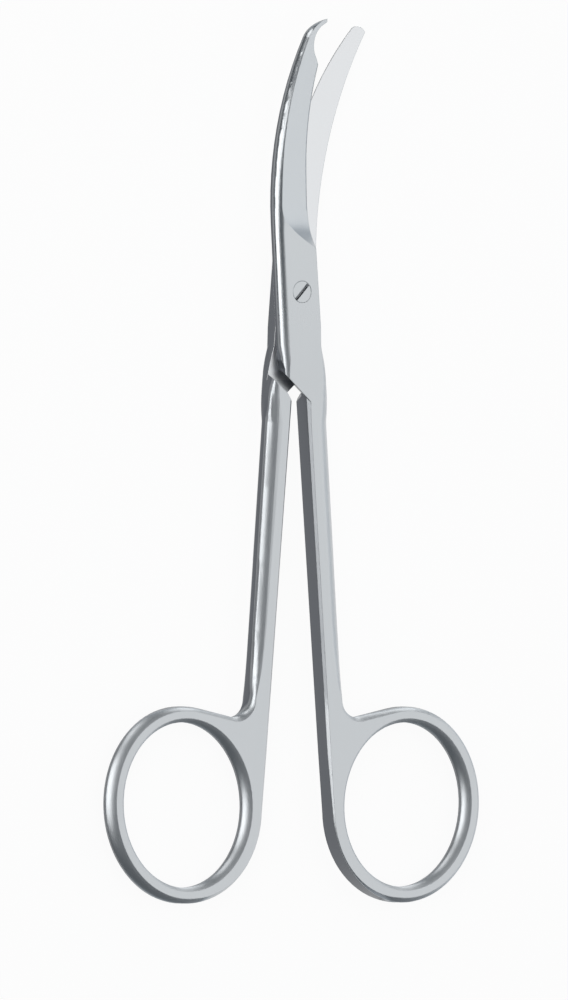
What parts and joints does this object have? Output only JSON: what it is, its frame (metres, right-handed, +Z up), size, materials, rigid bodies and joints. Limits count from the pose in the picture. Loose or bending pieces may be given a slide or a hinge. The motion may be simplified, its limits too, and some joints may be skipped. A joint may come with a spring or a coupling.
{
  "type": "suture scissors",
  "caption": "Steel suture scissors: a hooked blade and a blunt blade cross at a slotted screw, each forged in one with its shank and finger ring",
  "frame": {"origin": "on the joint axis, at the lower face of the joint, which is the surface that the scissors lie on", "axes": "+Y from the rings to the blade tips, +Z up along the joint axis, +X to the right seen from above"},
  "size_m": [0.0602, 0.1204, 0.0038],
  "materials": {
    "hook_half_steel": "satin ground stainless steel",
    "plain_half_steel": "satin ground stainless steel",
    "screw_steel": "turned stainless steel, ground flush"
  },
  "bodies": {
    "plain_half": {"plain_blade_half": "plain_half_steel", "joint_screw": "screw_steel"},
    "hook_half": {"hook_blade_half": "hook_half_steel"}
  },
  "joints": [
    {"name": "scissor_hinge", "type": "hinge", "parent": "plain_half", "child": "hook_half", "pos_m": [0, 0, 0.0019], "axis": [0, 0, 1], "range_deg": [-8.9, 100]}
  ]
}
